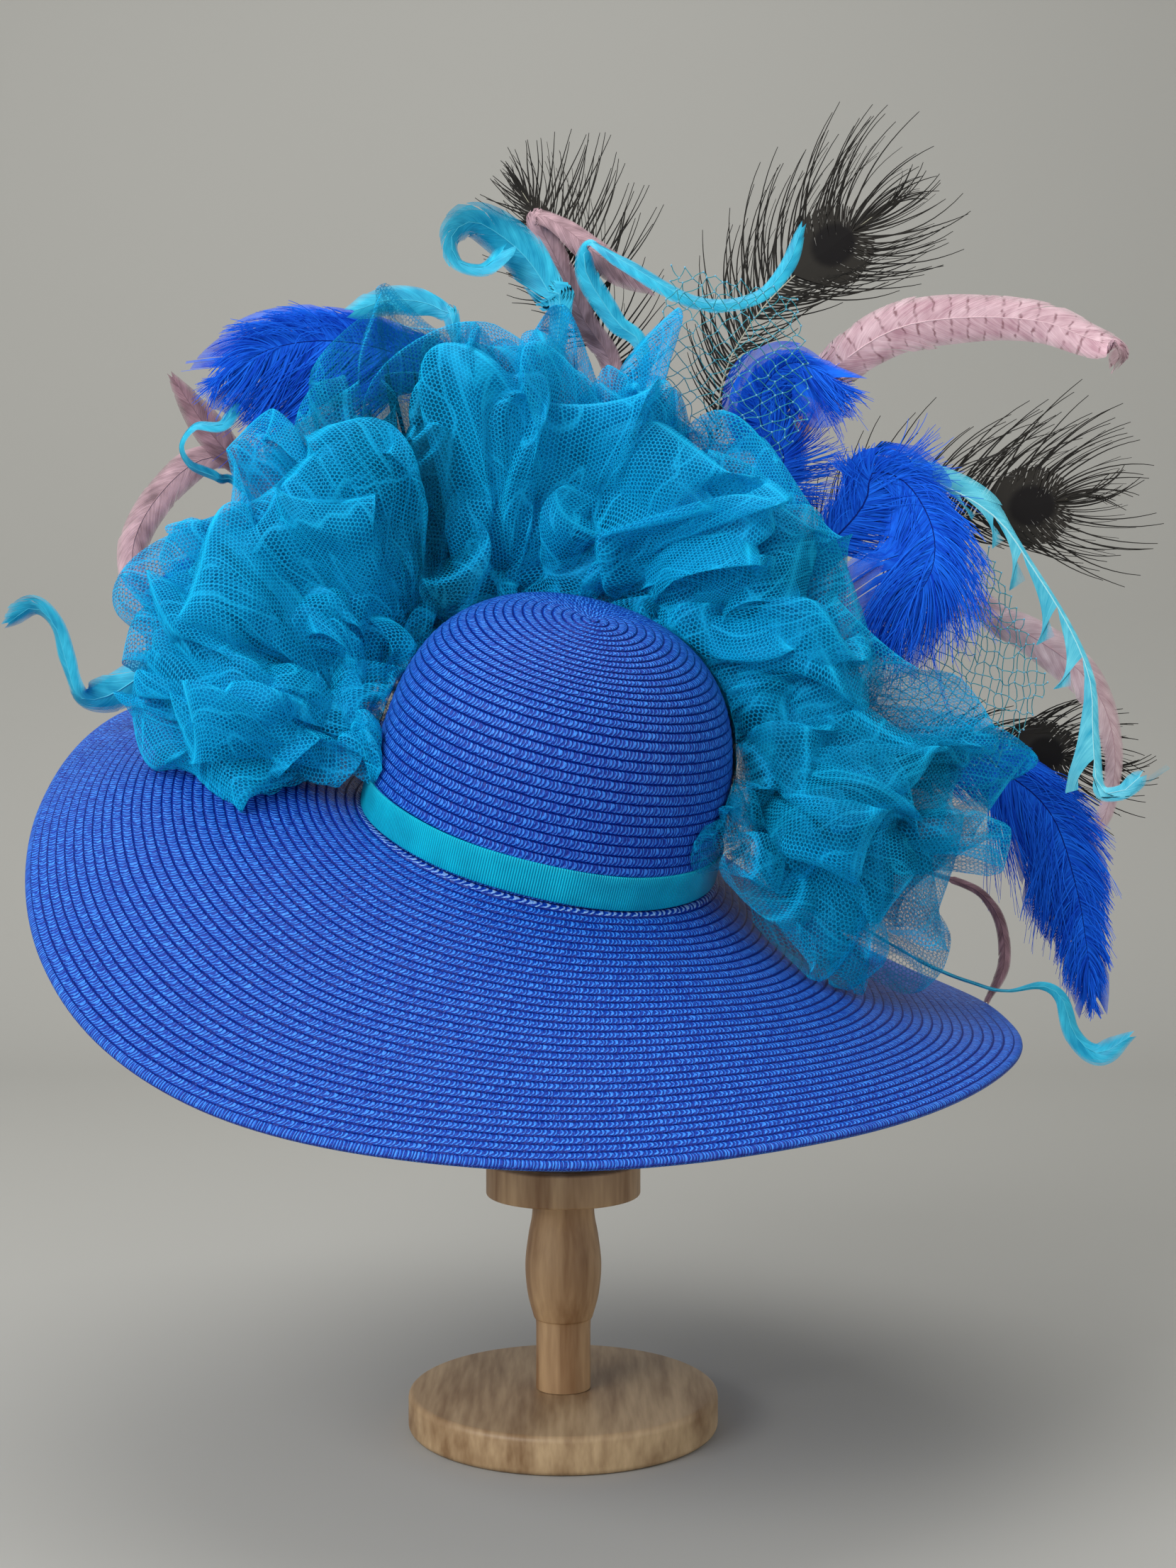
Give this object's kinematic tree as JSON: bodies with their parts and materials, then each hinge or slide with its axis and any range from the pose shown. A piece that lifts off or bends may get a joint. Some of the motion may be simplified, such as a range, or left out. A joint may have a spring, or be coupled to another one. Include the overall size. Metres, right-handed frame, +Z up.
{
  "type": "race day hat on a wooden hat stand",
  "caption": "Wide swooping brim and round crown of braided straw with a ribbon band, a fan of gathered tulle and a spray of feathers, on a plain turned stand.",
  "frame": {"origin": "centre of the stand's underside", "axes": "+Z up along the stand's post, +X to the right as the hat is shown, -Y towards the viewer"},
  "size_m": [0.5767, 0.4887, 0.655],
  "materials": {
    "pine": "planed pine, unvarnished",
    "form": "pale cloth over a light rounded form",
    "straw": "royal blue paper-straw braid, sewn in a spiral",
    "ribbon": "turquoise grosgrain",
    "tulle": "sheer hexagonal tulle, gathered",
    "ostrich": "soft ostrich barbs, royal blue",
    "turquoise": "dyed coque and biot feathers, satin",
    "pink": "natural barred pink feathers, satin",
    "peacock": "dark peacock barbs, faint iridescence",
    "net": "coarse knotted millinery net"
  },
  "bodies": {
    "root": {"stand_base": "pine", "stand_post": "pine", "stand_disc": "pine", "stand_dome": "form", "crown": "straw", "brim": "straw", "brim_edge": "straw", "ribbon_band": "ribbon", "tulle_left": "tulle", "tulle_top": "tulle", "tulle_right": "tulle", "peacock_top_left": "peacock", "peacock_top": "peacock", "peacock_right": "peacock", "peacock_low_right": "peacock", "ostrich_left": "ostrich", "ostrich_left_low": "ostrich", "ostrich_top": "ostrich", "ostrich_right": "ostrich", "ostrich_low_right": "ostrich", "turquoise_curl_top_left": "turquoise", "turquoise_curl_top": "turquoise", "turquoise_notched": "turquoise", "turquoise_tail": "turquoise", "turquoise_ring_left": "turquoise", "turquoise_flat_left": "turquoise", "turquoise_hook_left": "turquoise", "pink_curl_top": "pink", "pink_barred": "pink", "pink_arc_right": "pink", "pink_tail": "pink", "pink_blade_left": "pink", "pink_drop_left": "pink", "veil_side": "net", "veil_top": "net"}
  },
  "joints": []
}
